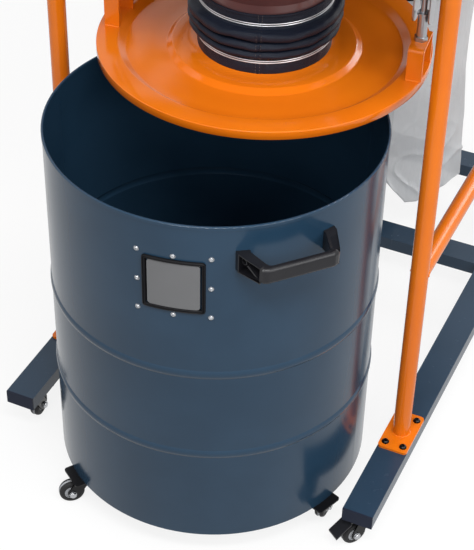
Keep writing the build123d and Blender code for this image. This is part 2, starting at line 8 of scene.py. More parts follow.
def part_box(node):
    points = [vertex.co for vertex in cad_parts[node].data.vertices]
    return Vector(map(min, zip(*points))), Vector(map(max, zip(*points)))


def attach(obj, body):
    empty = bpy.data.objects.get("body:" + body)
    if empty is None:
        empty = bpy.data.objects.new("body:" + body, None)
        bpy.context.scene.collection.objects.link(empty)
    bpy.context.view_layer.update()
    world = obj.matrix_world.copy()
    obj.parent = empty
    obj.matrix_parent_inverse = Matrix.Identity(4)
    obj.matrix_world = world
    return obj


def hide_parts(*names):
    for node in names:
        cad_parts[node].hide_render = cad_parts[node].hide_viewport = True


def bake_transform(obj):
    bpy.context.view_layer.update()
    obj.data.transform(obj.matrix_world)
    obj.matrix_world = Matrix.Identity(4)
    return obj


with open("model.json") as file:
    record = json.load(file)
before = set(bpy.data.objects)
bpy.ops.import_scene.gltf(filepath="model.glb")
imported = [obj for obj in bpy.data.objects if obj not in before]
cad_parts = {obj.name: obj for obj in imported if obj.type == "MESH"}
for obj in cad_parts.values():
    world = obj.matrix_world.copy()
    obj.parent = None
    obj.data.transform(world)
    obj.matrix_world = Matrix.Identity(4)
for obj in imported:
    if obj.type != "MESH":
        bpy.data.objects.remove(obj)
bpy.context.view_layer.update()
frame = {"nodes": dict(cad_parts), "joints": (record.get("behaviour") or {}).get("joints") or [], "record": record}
nodes = frame["nodes"]

# Lengths below are millimetres from the lid's axis at floor level, as in the drawing of the part.
lidLow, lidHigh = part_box("lid")
axisY = (lidLow[1] + lidHigh[1]) / 2
toRow = Matrix.Translation((0, axisY, 0)) @ Matrix.Scale(0.001, 4)


def inMm(node):
    low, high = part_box(node)
    return (Vector(low) - Vector((0, axisY, 0))) * 1000, (Vector(high) - Vector((0, axisY, 0))) * 1000


def turnZ(degrees):
    return Matrix.Rotation(math.radians(degrees), 4, "Z")


def shift(x, y, z):
    return Matrix.Translation((x, y, z))


def pointing(direction):
    # local Z along the direction
    return Vector(direction).to_track_quat("Z", "Y").to_matrix().to_4x4()


class Wire:
    # a socket's value that can stand in a Python sum
    def __init__(self, finish, socket):
        self.finish = finish
        self.socket = socket

    def maths(self, operation, *values):
        node = self.finish.node("Math", {"operation": operation}, dict(enumerate(values)))
        return Wire(self.finish, node.outputs[0])

    def __add__(self, other):
        return self.maths("ADD", self, other)

    def __radd__(self, other):
        return self.maths("ADD", other, self)

    def __mul__(self, other):
        return self.maths("MULTIPLY", self, other)

    def __rmul__(self, other):
        return self.maths("MULTIPLY", other, self)

    def smooth(self, low, high):
        node = self.finish.node("MapRange", {"interpolation_type": "SMOOTHSTEP"}, {0: self, 1: low, 2: high})
        return Wire(self.finish, node.outputs[0])


class Shading:
    # a node tree, with one way to add a node to it
    def __init__(self, tree):
        self.tree = tree

    def feed(self, node, sockets):
        for key, value in sockets.items():
            if isinstance(value, Wire):
                value = value.socket
            if isinstance(value, bpy.types.NodeSocket):
                self.tree.links.new(value, node.inputs[key])
            elif isinstance(value, tuple) and len(value) == 3 and node.inputs[key].type == "RGBA":
                node.inputs[key].default_value = (*value, 1)
            else:
                node.inputs[key].default_value = value

    def node(self, kind, settings=None, sockets=None):
        made = self.tree.nodes.new("ShaderNode" + kind)
        for key, value in (settings or {}).items():
            setattr(made, key, value)
        self.feed(made, sockets or {})
        return made

    def seenRays(self):
        # 1 for what the camera sees straight, in a reflection or through glass
        rays = self.node("LightPath").outputs
        straight = Wire(self, rays["Is Camera Ray"])
        return straight + Wire(self, rays["Is Glossy Ray"]) + Wire(self, rays["Is Transmission Ray"])


class Finish(Shading):
    # one material with its Principled shader
    def __init__(self, name, **sockets):
        self.material = bpy.data.materials.new(name)
        self.material.use_nodes = True
        super().__init__(self.material.node_tree)
        self.shader = self.tree.nodes["Principled BSDF"]
        self.set(**sockets)

    def set(self, **sockets):
        self.feed(self.shader, {key.replace("_", " "): value for key, value in sockets.items()})

    def place(self):
        return self.node("TexCoord").outputs["Object"]

    def grain(self, scale, detail=2.0, rough=0.5, stretch=None):
        vector = self.place()
        if stretch:
            vector = self.node("Mapping", {}, {"Vector": vector, "Scale": stretch}).outputs[0]
        sockets = {"Vector": vector, "Scale": scale, "Detail": detail, "Roughness": rough}
        return Wire(self, self.node("TexNoise", {}, sockets).outputs[0])

    def mix(self, factor, first, second):
        made = self.node("Mix", {"data_type": "RGBA"}, {0: factor, 6: first, 7: second})
        return made.outputs[2]

    def bump(self, height, distance, strength=1.0):
        made = self.node("Bump", {}, {"Height": height, "Distance": distance, "Strength": strength})
        self.feed(self.shader, {"Normal": made.outputs[0]})


def glossPaint(name, colour, deep, rough, peel=0.00003, shine=0.5):
    # sprayed gloss enamel: a faint orange peel, cloudy colour and a few finer scuffs
    paint = Finish(name, Specular_IOR_Level=shine)
    cloud = paint.grain(6.0, 3.0)
    specks = paint.grain(900.0, 1.0).smooth(0.72, 0.8)
    paint.set(Base_Color=paint.mix(cloud.smooth(0.3, 0.7), deep, colour))
    scuffs = paint.grain(45.0, 4.0, 0.6, (1.0, 1.0, 0.12)).smooth(0.58, 0.78)
    paint.set(Roughness=rough + 0.04 * cloud + 0.07 * scuffs + 0.05 * specks)
    paint.bump(paint.grain(420.0, 1.0) + 0.6 * paint.grain(130.0, 1.0), peel)
    return paint.material


def bareMetal(name, colour, rough, lines=(1.0, 1.0, 12.0)):
    metal = Finish(name, Metallic=1.0)
    streak = metal.grain(90.0, 3.0, 0.6, lines)
    metal.set(Base_Color=metal.mix(streak, tuple(0.82 * c for c in colour), colour))
    metal.set(Roughness=rough + 0.12 * metal.grain(35.0, 3.0))
    metal.bump(streak, 0.00002)
    return metal.material


def mouldedPlastic(name, colour, rough, size=1500.0, depth=0.00005, shine=0.3):
    plastic = Finish(name, Specular_IOR_Level=shine)
    cloud = plastic.grain(18.0, 3.0)
    plastic.set(Base_Color=plastic.mix(cloud, colour, tuple(1.35 * c + 0.004 for c in colour)))
    plastic.set(Roughness=rough + 0.1 * cloud)
    plastic.bump(plastic.grain(size, 1.0), depth)
    return plastic.material


orangePaint = glossPaint("orangePaint", (0.78, 0.180, 0.006), (0.73, 0.155, 0.005), 0.13, shine=0.34)
drumPaint = glossPaint("drumPaint", (0.018, 0.048, 0.088), (0.014, 0.040, 0.075), 0.17, shine=0.32)
railPaint = glossPaint("railPaint", (0.022, 0.047, 0.082), (0.018, 0.040, 0.070), 0.22, shine=0.3)
maroonPaint = glossPaint("maroonPaint", (0.140, 0.064, 0.063), (0.112, 0.050, 0.050), 0.14)
blackPaint = glossPaint("blackPaint", (0.005, 0.005, 0.006), (0.004, 0.004, 0.005), 0.16, shine=0.25)
# the weld beads are real, but their paint is a paler copy of the orange paint: a painted highlight along each bead
weldHighlightPaint = glossPaint("weldHighlightPaint", (0.82, 0.21, 0.012), (0.77, 0.18, 0.009), 0.14, 0.0001, 0.34)
brightZinc = bareMetal("brightZinc", (0.55, 0.56, 0.58), 0.2)
chromed = bareMetal("chromed", (0.46, 0.47, 0.49), 0.24, (1.0, 1.0, 3.0))
steelWire = bareMetal("steelWire", (0.72, 0.73, 0.75), 0.3)
blackSteel = bareMetal("blackSteel", (0.035, 0.035, 0.038), 0.24)
blackPlastic = mouldedPlastic("blackPlastic", (0.006, 0.006, 0.008), 0.28, shine=0.34)
capPlastic = mouldedPlastic("capPlastic", (0.010, 0.014, 0.028), 0.4, shine=0.12)
blackRubber = mouldedPlastic("blackRubber", (0.003, 0.003, 0.004), 0.4, 700.0, shine=0.1)
treadRubber = mouldedPlastic("treadRubber", (0.010, 0.010, 0.011), 0.5, 500.0, 0.0001)
hubPlastic = mouldedPlastic("hubPlastic", (0.36, 0.37, 0.39), 0.35)


def makeCloth():
    cloth = Finish("navyCoatedCloth", Specular_IOR_Level=0.2)
    cloud = cloth.grain(22.0, 4.0, 0.6)
    fold = cloth.grain(160.0, 3.0, 0.6)
    cloth.set(Base_Color=cloth.mix(cloud, (0.005, 0.008, 0.017), (0.010, 0.014, 0.027)))
    cloth.set(Roughness=0.32 + 0.2 * fold)
    # plain weave: fine threads round the tube and along it
    threads = cloth.node("TexWave", {"bands_direction": "Z"}, {"Vector": cloth.place(), "Scale": 480.0})
    cloth.bump(Wire(cloth, threads.outputs[1]) * 0.5 + fold * 1.2, 0.00022)
    return cloth.material


def makeFilm():
    film = Finish("frostedFilm", Transmission_Weight=0.0, IOR=1.45)
    cloud = film.grain(5.0, 4.0, 0.55)
    crumple = film.grain(26.0, 5.0, 0.62, (1.0, 1.0, 0.45))
    film.set(Base_Color=film.mix(cloud, (0.66, 0.68, 0.70), (0.80, 0.82, 0.84)))
    film.set(Roughness=0.22 + 0.2 * cloud)
    film.set(Alpha=0.68 + 0.14 * crumple)
    film.bump(crumple.smooth(0.35, 0.65) + 0.4 * film.grain(90.0, 2.0), 0.0012, 0.5)
    return film.material


def makePane():
    pane = Finish("greyPane")
    cloud = pane.grain(14.0, 3.0)
    pane.set(Base_Color=pane.mix(cloud, (0.125, 0.127, 0.132), (0.15, 0.152, 0.157)))
    pane.set(Roughness=0.3 + 0.1 * cloud)
    pane.bump(pane.grain(300.0, 1.0), 0.00002)
    return pane.material


seamThread = mouldedPlastic("seamThread", (0.10, 0.085, 0.08), 0.6, 900.0)
cloth = makeCloth()
frostedFilm = makeFilm()
greyPane = makePane()

finishOf = {
    "orange_paint": orangePaint,
    "dark_paint": railPaint,
    "black_paint": blackPaint,
    "bright_zinc": brightZinc,
    "chromed": chromed,
    "black_rubber": blackRubber,
    "wheel_rubber": treadRubber,
    "black_plastic": blackPlastic,
    "clear_film": frostedFilm,
    "grey_pane": greyPane,
    "navy_fabric": cloth,
}
slotOf = {part["node"]: part["material_slot"] for part in frame["record"]["subparts"]}
for name, node in nodes.items():
    for holder in node.material_slots:
        holder.material = finishOf[slotOf[name]]
special = {
    drumPaint: ("drum_shell", "drum_rim", "drum_floor"),
    maroonPaint: ("cone", "cone_flange", "filter_housing", "filter_flange"),
    capPlastic: ("rail_caps",),
}
for finish, names in special.items():
    for name in names:
        for holder in nodes[name].material_slots:
            holder.material = finish
print("materials ready")


def piece(name, points, faces, body, materials, slot, kinds=None, smooth=True, sharp=35):
    # a mesh from millimetre points, riding on a body
    mesh = bpy.data.meshes.new(name)
    mesh.from_pydata([toRow @ Vector(p) for p in points], [], faces)
    mesh.update()
    for material in materials:
        mesh.materials.append(material)
    if kinds:
        mesh.polygons.foreach_set("material_index", kinds)
    if smooth:
        mesh.polygons.foreach_set("use_smooth", [True] * len(mesh.polygons))
        mesh.set_sharp_from_angle(angle=math.radians(sharp))
    made = bpy.data.objects.new(name, mesh)
    bpy.context.scene.collection.objects.link(made)
    if body:
        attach(made, body)
    return made


def roundShape(angle):
    return 1.0


def hexShape(angle):
    third = math.radians(60)
    return math.cos(third / 2) / math.cos((angle + third / 2) % third - third / 2)


def turned(rows, sides=24, closed=False):
    # rows of (radius, height, shape) turned about Z; a radius of 0 closes an end
    points, faces, kinds, rings = [], [], [], []
    for radius, height, *rest in rows:
        shape = rest[0] if rest else roundShape
        if radius == 0:
            points.append((0, 0, height))
            rings.append([len(points) - 1] * sides)
            continue
        start = len(points)
        for i in range(sides):
            angle = 2 * math.pi * i / sides
            r = radius * shape(angle)
            points.append((r * math.cos(angle), r * math.sin(angle), height))
        rings.append(list(range(start, start + sides)))
    spans = list(zip(rings, rings[1:]))
    if closed:
        spans.append((rings[-1], rings[0]))
    for band, (low, high) in enumerate(spans):
        for i in range(sides):
            j = (i + 1) % sides
            face = [low[i], low[j], high[j], high[i]]
            face = [p for k, p in enumerate(face) if p not in face[:k]]
            faces.append(face)
            kinds.append(band)
    return points, faces, kinds


def stamped(shape, places):
    # one shape copied to many places
    points, faces, kinds = [], [], []
    for place in places:
        start = len(points)
        points += [place @ Vector(p) for p in shape[0]]
        faces += [[start + i for i in face] for face in shape[1]]
        kinds += shape[2]
    return points, faces, kinds


def gathered(shapes):
    # many shapes as one, each where it is
    points, faces = [], []
    for shape in shapes:
        start = len(points)
        points += shape[0]
        faces += [[start + i for i in face] for face in shape[1]]
    return points, faces


def tubeAlong(path, radius, sides=10, closed=False, ripple=None):
    # a tube swept along points, with an optional ripple of its radius
    points, faces = [], []
    count = len(path)
    path = [Vector(p) for p in path]
    side = None
    for i, here in enumerate(path):
        before = path[i - 1] if i or closed else here
        after = path[(i + 1) % count] if i < count - 1 or closed else here
        along = (after - before).normalized()
        if side is None:
            side = along.orthogonal().normalized()
        side = (side - along * side.dot(along)).normalized()
        up = along.cross(side)
        size = radius * (ripple(i / (count - 1 if not closed else count)) if ripple else 1.0)
        for k in range(sides):
            angle = 2 * math.pi * k / sides
            points.append(here + (side * math.cos(angle) + up * math.sin(angle)) * size)
    for i in range(count if closed else count - 1):
        j = (i + 1) % count
        for k in range(sides):
            m = (k + 1) % sides
            faces.append([i * sides + k, i * sides + m, j * sides + m, j * sides + k])
    if not closed:
        faces.append(list(range(sides))[::-1])
        faces.append([(count - 1) * sides + k for k in range(sides)])
    return points, faces


def weldBead(path, size, step=2.2, closed=False):
    # scalloped bead along a path, denser points than the path given
    fine = []
    path = [Vector(p) for p in path]
    ends = list(zip(path, path[1:] + path[:1])) if closed else list(zip(path, path[1:]))
    for start, end in ends:
        parts = max(1, round((end - start).length / (step / 4)))
        fine += [start.lerp(end, k / parts) for k in range(parts)]
    if not closed:
        fine.append(path[-1])
    total = len(fine)

    def ripple(t):
        wave = abs(math.sin(math.pi * t * total / 4))
        return 0.82 + 0.22 * wave + 0.12 * noise.noise((t * total / 9, size, 3.0))

    return tubeAlong(fine, size, 7, closed, ripple)


def circlePath(radius, z, count, centre=(0, 0)):
    turns = [2 * math.pi * i / count for i in range(count)]
    return [(centre[0] + radius * math.cos(turn), centre[1] + radius * math.sin(turn), z) for turn in turns]


buttonHead = {"radius": 3.9, "height": 2.2, "socket": 2.1, "depth": 1.7}


def buttonScrew(radius, height, socket, depth, washer=0.0):
    # domed socket screw with its head on z = 0, on a washer if that has a radius
    thick, dome = 0.9, 5
    if washer:
        rows = [(0, 0), (washer, 0), (washer, thick), (radius, thick)]
        base = thick
    else:
        rows = [(0, -0.4), (radius, -0.4)]
        base = 0.0
    rows += [(radius, base + 0.25 * height)]
    for k in range(1, dome + 1):
        t = k / dome
        rise = 0.25 + 0.75 * math.sin(t * math.pi / 2)
        rows.append((radius - (radius - socket - 0.5) * t ** 1.6, base + height * rise))
    top = base + height
    rows += [(socket, top, hexShape), (socket, top - depth, hexShape), (0, top - depth - 0.3)]
    return turned(rows, 24)


drum = {"y": -199.0, "radius": 300.0}


def onDrum(angle, z, radius=drum["radius"]):
    # local Z out of the drum, local X round it, local Y up
    axes = Matrix(((0, 0, 1, 0), (1, 0, 0, 0), (0, 1, 0, 0), (0, 0, 0, 1)))
    return shift(0, drum["y"], z) @ turnZ(angle) @ shift(radius, 0, 0) @ axes


window = {
    "angle": -78.0,
    "z": 664.0,
    "width": 108.0,
    "height": 108.0,
    "corner": 6.5,
    "columns": (-12.0, 0.0, 12.0),
    "rows": (602.0, 663.5, 725.0),
    # the rubber's section as (inset, rise): two soft lips with a groove between them
    "section": (
        (0.0, 0.4), (0.2, 2.6), (0.9, 4.0), (2.0, 4.7), (2.8, 4.1), (3.2, 3.2),
        (3.6, 3.2), (4.1, 4.0), (5.0, 4.3), (5.9, 3.8), (6.8, 2.2), (7.3, -2.5),
    ),
}


def roundedPath(width, height, corner, steps=6, between=12):
    # a closed path with its normals, with points along the straight sides so that they follow the drum
    path = []
    for cx, cy, start in ((1, 1, 0), (-1, 1, 90), (-1, -1, 180), (1, -1, 270)):
        for k in range(steps + 1):
            angle = math.radians(start + 90 * k / steps)
            x = cx * (width / 2 - corner) + corner * math.cos(angle)
            y = cy * (height / 2 - corner) + corner * math.sin(angle)
            path.append((x, y, math.cos(angle), math.sin(angle)))
    filled = []
    for here, after in zip(path, path[1:] + path[:1]):
        filled.append(here)
        if math.hypot(after[0] - here[0], after[1] - here[1]) > 2 * corner:
            for k in range(1, between):
                filled.append(tuple(a + (b - a) * k / between for a, b in zip(here, after)))
    return filled


def buildWindow():
    screw = buttonScrew(**buttonHead, washer=4.6)
    places = []
    for column in window["columns"]:
        for z in window["rows"]:
            if column == 0.0 and z == window["rows"][1]:
                continue
            places.append(onDrum(window["angle"] + column, z) @ turnZ(17 * len(places)))
    points, faces, _ = stamped(screw, places)
    piece("windowScrews", points, faces, "drum", [brightZinc], "bright_zinc")

    path = roundedPath(window["width"], window["height"], window["corner"])
    points, faces = [], []
    for x, y, nx, ny in path:
        for inset, rise in window["section"]:
            u, v = x - nx * inset, y - ny * inset
            turn = window["angle"] + math.degrees(u / drum["radius"])
            points.append(onDrum(turn, window["z"] + v, drum["radius"] + rise) @ Vector((0, 0, 0)))
    around, across = len(path), len(window["section"])
    for i in range(around):
        j = (i + 1) % around
        for k in range(across):
            m = (k + 1) % across
            faces.append([i * across + k, j * across + k, j * across + m, i * across + m])
    seal = piece("windowSeal", points, faces, "drum", [blackRubber], "black_rubber", sharp=60)
    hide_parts("window_frame")
    print("window ready")


buildWindow()

handle = {
    "angle": -41.7,
    "top": 742.0,
    # half of the plan as (across, out of the drum, height of the lower edge)
    "outer": (
        (87.5, -12.6, 704.5), (87.5, -3.0, 704.5), (69.5, 45.5, 710.0),
        (66.0, 50.0, 710.5), (58.5, 53.3, 711.0), (0.0, 53.8, 711.0),
    ),
    "inner": (
        (65.5, -6.8, 704.5), (65.5, -1.0, 705.0), (54.5, 37.5, 711.0),
        (52.0, 41.0, 711.5), (47.0, 42.3, 711.5), (0.0, 42.3, 711.5),
    ),
    "lip": 2.0,
    "pocket": 15.0,
    "round": 7.5,
    "narrow": 0.26,  # share of that width on the other edges
    "bossSpot": (0.2, 0.3),
}


def buildHandle():
    h = handle
    place = onDrum(h["angle"], 0)
    # the right half of the plan, then the left half mirrored from it
    outer = [(-u, w, z) for u, w, z in h["outer"]] + [(u, w, z) for u, w, z in reversed(h["outer"][:-1])]
    inner = [(-u, w, z) for u, w, z in h["inner"]] + [(u, w, z) for u, w, z in reversed(h["inner"][:-1])]
    points, faces = [], []
    for (u1, w1, z1), (u2, w2, z2) in zip(outer, inner):
        for u, v, w in ((u1, h["top"], w1), (u2, h["top"], w2), (u2, z2, w2), (u1, z1, w1)):
            points.append(place @ Vector((u, v, w)))
    count = len(outer)
    legs = (1, count - 3)
    for i in range(count - 1):
        a, b = 4 * i, 4 * i + 4
        for k in range(4):
            m = (k + 1) % 4
            if k < 3 or i not in legs:
                faces.append([a + k, b + k, b + m, a + m])
    faces.append([3, 2, 1, 0])
    last = 4 * (count - 1)
    faces.append([last, last + 1, last + 2, last + 3])
    made = piece("dustDrumHandle", points, faces, "drum", [blackPlastic], "black_plastic", sharp=40)
    # the grip's front edges are rounded wide, all others narrowly
    soft = made.data.attributes.new("bevel_weight_edge", "FLOAT", "EDGE")
    for edge in made.data.edges:
        (ringA, cornerA), (ringB, cornerB) = (divmod(v, 4) for v in edge.vertices)
        # the feet and the open legs' own edges stay sharp, as the pockets fit into them
        rings = {ringA, ringB}
        if rings <= {0, 1} or rings <= {count - 2, count - 1}:
            continue
        if {cornerA, cornerB} <= {0, 3} and any(rings <= {leg, leg + 1} for leg in legs):
            continue
        onGrip = 1 < min(ringA, ringB) and max(ringA, ringB) < count - 2
        wide = onGrip and cornerA == cornerB and cornerA in (0, 3)
        soft.data[edge.index].value = 1.0 if wide else h["narrow"]
    bevel = made.modifiers.new("softEdges", "BEVEL")
    bevel.width = h["round"] / 1000
    bevel.segments = 5
    bevel.limit_method = "WEIGHT"
    bevel.harden_normals = True
    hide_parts("drum_handle")

    # each leg is open on its outer side: a thin lip, a pocket, a screw boss and a slanting rib
    pockets, screws = ([], []), []
    for i in legs:
        corners = [points[4 * i], points[4 * i + 4], points[4 * i + 7], points[4 * i + 3]]
        if i != legs[0]:
            corners = [corners[1], corners[0], corners[3], corners[2]]
        footTop, cornerTop, cornerLow, footLow = corners
        long, tall = (cornerTop - footTop).length, (footTop - footLow).length

        def spot(s, t, deep=0.0):
            # s from the foot to the corner, t from the top down, both 0 to 1
            high, low = footTop.lerp(cornerTop, s), footLow.lerp(cornerLow, s)
            return high.lerp(low, t) + inward * deep

        inward = place.to_3x3() @ Vector((1 if i == legs[0] else -1, 0, -0.3)).normalized()
        lipS, lipT = h["lip"] / long, h["lip"] / tall
        frameRing = ((lipS, lipT), (1 - lipS, lipT), (1 - lipS, 1 - lipT), (lipS, 1 - lipT))
        verts = [spot(0, 0), spot(1, 0), spot(1, 1), spot(0, 1)]
        verts += [spot(*at) for at in frameRing] + [spot(*at, h["pocket"]) for at in frameRing]
        quads = [[k, (k + 1) % 4, 4 + (k + 1) % 4, 4 + k] for k in range(4)]
        quads += [[4 + k, 4 + (k + 1) % 4, 8 + (k + 1) % 4, 8 + k] for k in range(4)]
        quads += [[8, 9, 10, 11], [12, 13, 14, 15]]
        rib = [(0.34, 0.42), (0.40, 0.36), (0.96, 0.90), (0.92, 0.96)]
        verts += [spot(*at, 2.5) for at in rib] + [spot(*at, h["pocket"]) for at in rib]
        quads += [[12 + k, 16 + k, 16 + (k + 1) % 4, 12 + (k + 1) % 4] for k in range(4)]
        # the inside shows from outside only, so the two legs wind opposite ways
        if i != legs[0]:
            quads = [quad[::-1] for quad in quads]
        start = len(pockets[0])
        pockets[0].extend(verts)
        pockets[1].extend([[start + k for k in quad] for quad in quads])
        screws.append(Matrix.Translation(spot(*h["bossSpot"], h["pocket"])) @ pointing(-inward))
    piece("handlePockets", *pockets, "drum", [blackPlastic], "black_plastic", smooth=False)
    boss = turned([(6.4, 0), (6.4, 11.0), (5.8, 11.6), (4.9, 11.6), (4.9, 6.0), (0, 6.0)], 28)
    points, faces, _ = stamped(boss, screws)
    piece("handleBosses", points, faces, "drum", [blackPlastic], "black_plastic")
    head = buttonScrew(4.2, 2.4, 2.0, 1.3)
    points, faces, _ = stamped(head, [place @ shift(0, 0, 6.2) for place in screws])
    piece("handleScrews", points, faces, "drum", [blackPaint], "black_plastic")
    print("handle ready")


buildHandle()

pressedLid = {
    "radius": 300.0,
    "low": 833.0,
    "top": 849.0,
    "sheet": 2.4,
    "edge": 1.3,
    "recess": (262.0, 248.0, 838.0),
    "raised": (175.0, 164.5, 847.0),
    "spigot": (116.5, 887.0),
    "around": 240,
}


def pressedStep(outside, inside, high, low, bend=1.6):
    # a drawn step: a straight flank with a small radius at its top and foot
    slope = (high - low) * 2 * bend / (outside - inside)
    curve = ((-0.5, 0.0), (0.0, 0.12), (0.5, 0.5))
    rows = [(outside - bend * 2 * t, high - slope * u) for t, u in curve]
    return rows + [(inside + bend * 2 * t, low + slope * u) for t, u in reversed(curve)]


def buildLid():
    p = pressedLid
    radius, low, top, sheet, edge = (p[key] for key in ("radius", "low", "top", "sheet", "edge"))
    recessOut, recessIn, recessZ = p["recess"]
    raisedOut, raisedIn, raisedZ = p["raised"]
    neck, neckTop = p["spigot"]
    rows = [(radius - 0.7, low), (radius, low + 0.7)]
    for k in range(7):
        turn = math.radians(15 * k)
        rows.append((radius - edge * (1 - math.cos(turn)), top - edge * (1 - math.sin(turn))))
    rows += [(281.0, top), *pressedStep(recessOut, recessIn, top, recessZ)]
    rows += [(230.0, recessZ), (200.0, recessZ), *pressedStep(raisedOut, raisedIn, recessZ, raisedZ)]
    rows += [(140.0, raisedZ), (neck + 2, raisedZ), (neck, raisedZ + 2)]
    rows += [(neck, neckTop - 0.5), (neck - 0.5, neckTop)]
    # the underside follows one sheet's thickness below
    inner = neck - sheet
    under = [(inner + 0.5, neckTop), (inner, neckTop - 0.5), (inner, raisedZ - sheet)]
    under += [(raisedIn, raisedZ - sheet), (raisedOut, recessZ - sheet)]
    under += [(recessIn, recessZ - sheet), (recessOut, top - sheet)]
    under += [(radius - sheet, top - sheet), (radius - sheet, low + 0.5)]
    points, faces, _ = turned(rows + under, p["around"], closed=True)
    made = piece("pressedLid", points, faces, "lid", [orangePaint], "orange_paint", sharp=50)
    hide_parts("lid")
    print("lid ready")


buildLid()

sleeve = {
    "radius": 119.6,
    "foot": 847.5,
    "top": 963.0,
    "folds": ((889.0, 134.0), (906.5, 136.5), (926.0, 138.0)),
    "creases": (880.5, 897.5, 915.5, 936.5),
    "wires": (871.0, 944.0),
    "seam": -72.0,
    "slant": 0.013,
    "around": 300,
    # gathers beside the seam as (angle, width, size)
    "gathers": (
        (-66.0, 2.4, 2.3), (-61.0, 1.8, 2.6), (-56.5, 2.6, 2.1), (-79.0, 2.2, 1.4), (-90.0, 3.0, 1.2),
    ),
    "stitchSide": 1.7,  # degrees from the seam to each stitch line
}


def smoothLine(line, steps=5):
    # Catmull-Rom through (height, radius) pairs
    fine = []
    for i in range(len(line) - 1):
        near = (line[max(0, i - 1)], line[i], line[i + 1], line[min(len(line) - 1, i + 2)])
        for k in range(steps):
            t = k / steps
            fine.append(tuple(
                0.5 * (
                    2 * b + (c - a) * t + (2 * a - 5 * b + 4 * c - d) * t * t
                    + (3 * b - a - 3 * c + d) * t ** 3
                )
                for a, b, c, d in zip(*near)
            ))
    return fine + [line[-1]]


def seamAt(z):
    return sleeve["seam"] + sleeve["slant"] * (z - 850)


def sleeveRise(z, bulge, angle, puckers):
    # how far the cloth stands in or out of its plain turned form
    s = sleeve
    turn = math.radians(angle)
    ring = Vector((math.cos(turn) * 1.3, math.sin(turn) * 1.3, z / 60))
    out = bulge * 2.6 * noise.noise(ring * 2.3 + Vector((7, 0, 0)))
    out += 0.45 * noise.noise(Vector((math.cos(turn) * 9, math.sin(turn) * 9, z / 9)))
    for spot, width, size, wire in puckers:
        away = (angle - spot + 180) % 360 - 180
        gap = abs(z - wire)
        if abs(away) < 3 * width and 1.6 < gap < 26:
            # a gather is sharp at the wire and fans out away from it
            spread = width * (0.35 + gap / 22)
            out += size * 0.6 * math.exp(-gap / 9) * math.cos(min(math.pi, abs(away) / spread * 2.2))
    # the overlapped seam stands a little proud, with a groove on its two stitch lines
    away = (angle - seamAt(z) + 180) % 360 - 180
    out += 1.1 * math.exp(-(away / 2.6) ** 6)
    out -= 1.0 * math.exp(-((abs(away) - s["stitchSide"]) / 0.45) ** 2)
    # the overlap pinches each fold a little
    out -= 2.6 * bulge * math.exp(-((away - 0.4) / 0.9) ** 2)
    return out


def sleeveLine():
    # the cloth's section as (height, radius), from its foot to the hem turned in at the top
    s = sleeve
    r, foot, top = s["radius"], s["foot"], s["top"]
    low, high = s["wires"]
    line = [(foot + 0.2, r - 1.2), (foot, r + 0.6), (856, r + 0.9), (866, r + 0.7)]
    line += [(low, r - 0.4), (875.5, r + 0.8)]
    for under, over, (middle, out) in zip(s["creases"], s["creases"][1:], s["folds"]):
        rise = out - r
        line += [(under, r + 0.12 * rise), (under + 2.2, r + 0.66 * rise), (under + 5.5, r + 0.93 * rise)]
        line += [(middle, out), (over - 5.5, r + 0.93 * rise), (over - 2.2, r + 0.66 * rise)]
    line += [(s["creases"][-1], r + 2.0), (940.0, r + 1.0), (high, r - 0.4), (949.5, r + 0.9)]
    line += [(957.5, r + 0.5), (959.0, r + 1.2), (top - 0.8, r + 1.2), (top, r + 0.2)]
    line += [(top - 0.4, r - 1.6), (top - 8, r - 2.2)]
    return smoothLine(line)


def bulgeOf(radius):
    # 0 where the cloth lies flat, 1 on top of a fold
    return max(0.0, min(1.0, (radius - sleeve["radius"] - 1.5) / 14))


def randomPuckers():
    puckers = []
    for _ in range(44):
        angle, width, size = random.uniform(0, 360), random.uniform(2, 5), random.uniform(0.3, 0.9)
        puckers.append((angle, width, size, random.choice(sleeve["wires"])))
    return puckers


